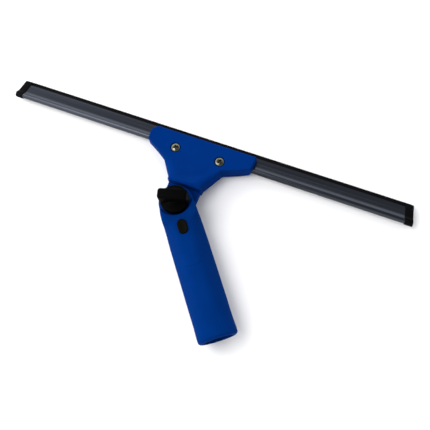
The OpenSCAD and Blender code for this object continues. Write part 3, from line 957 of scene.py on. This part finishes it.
def scuff_group():
    """Short fine scratches as a mask: thin bands of a stretched noise, kept only inside worn patches."""
    group, given, out = new_group(
        "scuffs", [("Vector", "NodeSocketVector", None), ("Stretch", "NodeSocketVector", (1.0, 9.0, 9.0)),
                   ("Amount", "NodeSocketFloat", 0.5)], [("Mask", "NodeSocketFloat")])
    where = given.outputs["Vector"]
    stretched = add(group, "ShaderNodeVectorMath", [(0, where), (1, given.outputs["Stretch"])],
                    operation="MULTIPLY")
    lines = add(group, "ShaderNodeTexNoise", [("Vector", stretched.outputs["Vector"]), ("Scale", 220.0),
                                              ("Detail", 4.0), ("Roughness", 0.65)])
    thin = add(group, "ShaderNodeMapRange", [("Value", lines.outputs["Fac"]), ("From Min", 0.60),
                                             ("From Max", 0.70)])
    patches = add(group, "ShaderNodeTexNoise", [("Vector", where), ("Scale", 45.0), ("Detail", 2.0)])
    worn = add(group, "ShaderNodeMapRange", [("Value", patches.outputs["Fac"]), ("From Min", 0.5),
                                             ("From Max", 0.66)])
    both = add(group, "ShaderNodeMath", [(0, thin.outputs["Result"]), (1, worn.outputs["Result"])],
               operation="MULTIPLY")
    scaled = add(group, "ShaderNodeMath", [(0, both.outputs["Value"]), (1, given.outputs["Amount"])],
                 operation="MULTIPLY")
    group.links.new(scaled.outputs["Value"], out.inputs["Mask"])
    return group


def streak_group():
    """Lines that a die or a grinding belt leaves along one direction: a noise stretched along it."""
    group, given, out = new_group(
        "drawn_lines", [("Vector", "NodeSocketVector", None), ("Along", "NodeSocketVector", (0.02, 1, 1)),
                        ("Size", "NodeSocketFloat", 2600.0)],
        [("Height", "NodeSocketFloat"), ("Shade", "NodeSocketFloat")])
    where, along = given.outputs["Vector"], given.outputs["Along"]
    squeezed = add(group, "ShaderNodeVectorMath", [(0, where), (1, along)], operation="MULTIPLY")
    fine = add(group, "ShaderNodeTexNoise", [("Vector", squeezed.outputs["Vector"]),
                                             ("Scale", given.outputs["Size"]), ("Detail", 3.0)])
    broad = add(group, "ShaderNodeTexNoise", [("Vector", squeezed.outputs["Vector"]), ("Scale", 420.0),
                                              ("Detail", 2.0)])
    spread = add(group, "ShaderNodeMapRange", [("Value", broad.outputs["Fac"]), ("From Min", 0.35),
                                               ("From Max", 0.65)])
    group.links.new(fine.outputs["Fac"], out.inputs["Height"])
    group.links.new(spread.outputs["Result"], out.inputs["Shade"])
    return group


GRAIN, SCUFFS, STREAKS = grain_group(), scuff_group(), streak_group()
print("groups:", GRAIN.name, SCUFFS.name, STREAKS.name)

# %% [markdown]
# A plastic finish mixes two close shades by the mottle, and a third shade in the scuffs. Grain goes into the
# bump and both effects into the roughness. Metals use drawn lines in place of the mottle.

# %% Finish builders
def start_material(name, constants):
    """A material with its shader, object coordinates and the constants set on the shader's own sockets."""
    material = bpy.data.materials.new(name)
    material.use_nodes = True
    tree = material.node_tree
    shader = tree.nodes["Principled BSDF"]
    for socket, value in constants.items():
        shader.inputs[socket].default_value = value
    return material, tree, shader, tree.nodes.new("ShaderNodeTexCoord").outputs["Object"]


def mix_colour(tree, share, first, second):
    """The colour socket of a mix of two colours, each a socket or a value."""
    node = add(tree, "ShaderNodeMix", [("Factor", share)], data_type="RGBA")
    for number, colour in ((6, first), (7, second)):
        if isinstance(colour, bpy.types.NodeSocket):
            tree.links.new(colour, node.inputs[number])
        else:
            node.inputs[number].default_value = (*colour, 1)
    return node.outputs[2]


def rough_between(tree, share, low, high):
    """Roughness that follows a 0 to 1 mask between two values."""
    node = add(tree, "ShaderNodeMapRange", [("Value", share), ("To Min", low), ("To Max", high)])
    return node.outputs["Result"]


def moulded(name, shades, scuffed, roughness, grain, grain_depth, scuff_amount, gloss=0.5,
            highlight=(1, 1, 1, 1)):
    """Moulded plastic or rubber: two shades, the scuffs' colour, and the strength and tint of its shine."""
    material, tree, shader, where = start_material(name, {"Specular IOR Level": gloss,
                                                          "Specular Tint": highlight})
    skin = add(tree, "ShaderNodeGroup", node_tree=GRAIN)
    tree.links.new(where, skin.inputs["Vector"])
    skin.inputs["Size"].default_value = grain
    marks = add(tree, "ShaderNodeGroup", node_tree=SCUFFS)
    tree.links.new(where, marks.inputs["Vector"])
    marks.inputs["Amount"].default_value = scuff_amount
    shade = mix_colour(tree, skin.outputs["Mottle"], *shades)
    tree.links.new(mix_colour(tree, marks.outputs["Mask"], shade, scuffed), shader.inputs["Base Color"])
    wear = add(tree, "ShaderNodeMath", [(0, skin.outputs["Mottle"]), (1, marks.outputs["Mask"])],
               operation="ADD")
    tree.links.new(rough_between(tree, wear.outputs["Value"], *roughness), shader.inputs["Roughness"])
    bump = add(tree, "ShaderNodeBump", [("Height", skin.outputs["Height"]), ("Strength", 0.35),
                                        ("Distance", grain_depth)])
    tree.links.new(bump.outputs["Normal"], shader.inputs["Normal"])
    return material


def drawn_metal(name, shades, roughness, along, size, depth):
    """Metal with two shades in fine lines along one direction."""
    material, tree, shader, where = start_material(name, {"Metallic": 1.0})
    lines = add(tree, "ShaderNodeGroup", node_tree=STREAKS)
    tree.links.new(where, lines.inputs["Vector"])
    lines.inputs["Along"].default_value = along
    lines.inputs["Size"].default_value = size
    tree.links.new(mix_colour(tree, lines.outputs["Shade"], *shades), shader.inputs["Base Color"])
    tree.links.new(rough_between(tree, lines.outputs["Shade"], *roughness), shader.inputs["Roughness"])
    bump = add(tree, "ShaderNodeBump", [("Height", lines.outputs["Height"]), ("Strength", 0.3),
                                        ("Distance", depth)])
    tree.links.new(bump.outputs["Normal"], shader.inputs["Normal"])
    return material


print("finish builders ready")

# %% [markdown]
# The two blues are the same plastic. The grip's skin is textured for the hand, and the head's is smoother.
# Their highlights are tinted, because dyed plastic throws back little red. The channel is anodised in a
# dull grey, and the caps, knob and rubber are near black.

# %% The finishes
BLUE_HIGHLIGHT = (0.1, 0.4, 1.0, 1.0)
MADE = [
    moulded("grip_blue", [(0.0002, 0.0190, 0.120), (0.0004, 0.0218, 0.136)], (0.002, 0.032, 0.15),
            (0.46, 0.58), 2600, 0.00012, 0.35, gloss=0.004, highlight=BLUE_HIGHLIGHT),
    moulded("head_blue", [(0.0002, 0.0196, 0.132), (0.0004, 0.0222, 0.148)], (0.002, 0.032, 0.15),
            (0.38, 0.50), 3200, 0.00008, 0.3, gloss=0.004, highlight=BLUE_HIGHLIGHT),
    moulded("knob_black", [(0.0010, 0.0010, 0.0009), (0.0016, 0.0015, 0.0014)], (0.006, 0.006, 0.005),
            (0.40, 0.52), 2800, 0.00008, 0.35, gloss=0.012),
    moulded("button_black", [(0.0030, 0.0029, 0.0016), (0.0042, 0.0040, 0.0022)], (0.02, 0.02, 0.015),
            (0.42, 0.55), 2800, 0.00006, 0.3, gloss=0.01),
    moulded("cap_black", [(0.002, 0.002, 0.0024), (0.004, 0.004, 0.0046)], (0.015, 0.015, 0.016),
            (0.35, 0.5), 3000, 0.00006, 0.4, gloss=0.03),
    moulded("blade_rubber", [(0.002, 0.002, 0.002), (0.004, 0.004, 0.004)], (0.01, 0.01, 0.01),
            (0.55, 0.7), 1500, 0.00005, 0.2, gloss=0.02),
    moulded("friction_plastic", [(0.02, 0.02, 0.02), (0.03, 0.03, 0.03)], (0.05, 0.05, 0.05),
            (0.4, 0.55), 2600, 0.00005, 0.5),
    drawn_metal("channel_alu", [(0.034, 0.038, 0.047), (0.046, 0.051, 0.063)], (0.22, 0.28),
                (0.012, 1, 1), 2600, 0.00006),
    drawn_metal("screw_chrome", [(0.085, 0.085, 0.058), (0.13, 0.13, 0.10)], (0.08, 0.14),
                (1, 0.25, 1), 1800, 0.00002),
    drawn_metal("bolt_steel", [(0.42, 0.42, 0.43), (0.58, 0.58, 0.59)], (0.22, 0.36),
                (0.3, 1, 1), 2200, 0.00003),
    drawn_metal("spring_steel", [(0.25, 0.25, 0.27), (0.36, 0.36, 0.38)], (0.25, 0.4),
                (1, 1, 0.2), 2200, 0.00003),
    drawn_metal("brass", [(0.55, 0.38, 0.14), (0.66, 0.47, 0.19)], (0.22, 0.34), (1, 1, 0.2), 2200, 0.00003),
]


def plain_name(material):
    """A material's name without the number that is added when the frame already uses the name."""
    return material.name.split(".")[0]


FINISHES = {plain_name(material): material for material in MADE}
print(len(FINISHES), "finishes")

# %% [markdown]
# ## Putting it together
# Each new piece gets its finish, rides on its body and stands for its CAD node. Inner parts keep their CAD
# shape and only get a finish.

# %% Finish, ride and replace
DRESSED = [(grip, "handle_body", "handle", "grip_blue"), (cover, "latch_cover", "handle", "grip_blue"),
           (head, "head_body", "head", "head_blue"), (rear, "rear_jaw", "head", "head_blue"),
           (knob, "knob", "knob", "knob_black"), (button, "lock_button", "latch", "button_black"),
           (channel, "channel", "head", "channel_alu"), (rubber, "rubber_blade", "head", "blade_rubber"),
           (left_cap, "end_cap_left", "head", "cap_black"),
           (right_cap, "end_cap_right", "head", "cap_black"),
           (screws, "jaw_screws", "head", "screw_chrome")]
for piece, node, body, finish in DRESSED:
    piece.data.materials.clear()
    piece.data.materials.append(FINISHES[finish])
    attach(piece, body)
    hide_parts(node)

replaced = {node for _, node, _, _ in DRESSED}
SLOT_OF = {node: plain_name(piece.data.materials[0]) for node, piece in frame["nodes"].items()}
for node, piece in frame["nodes"].items():
    if node not in replaced:
        for holder in piece.material_slots:
            holder.material = FINISHES[SLOT_OF[node]]
print(len(DRESSED), "pieces dressed,", len(frame["nodes"]) - len(DRESSED), "kept from the frame")
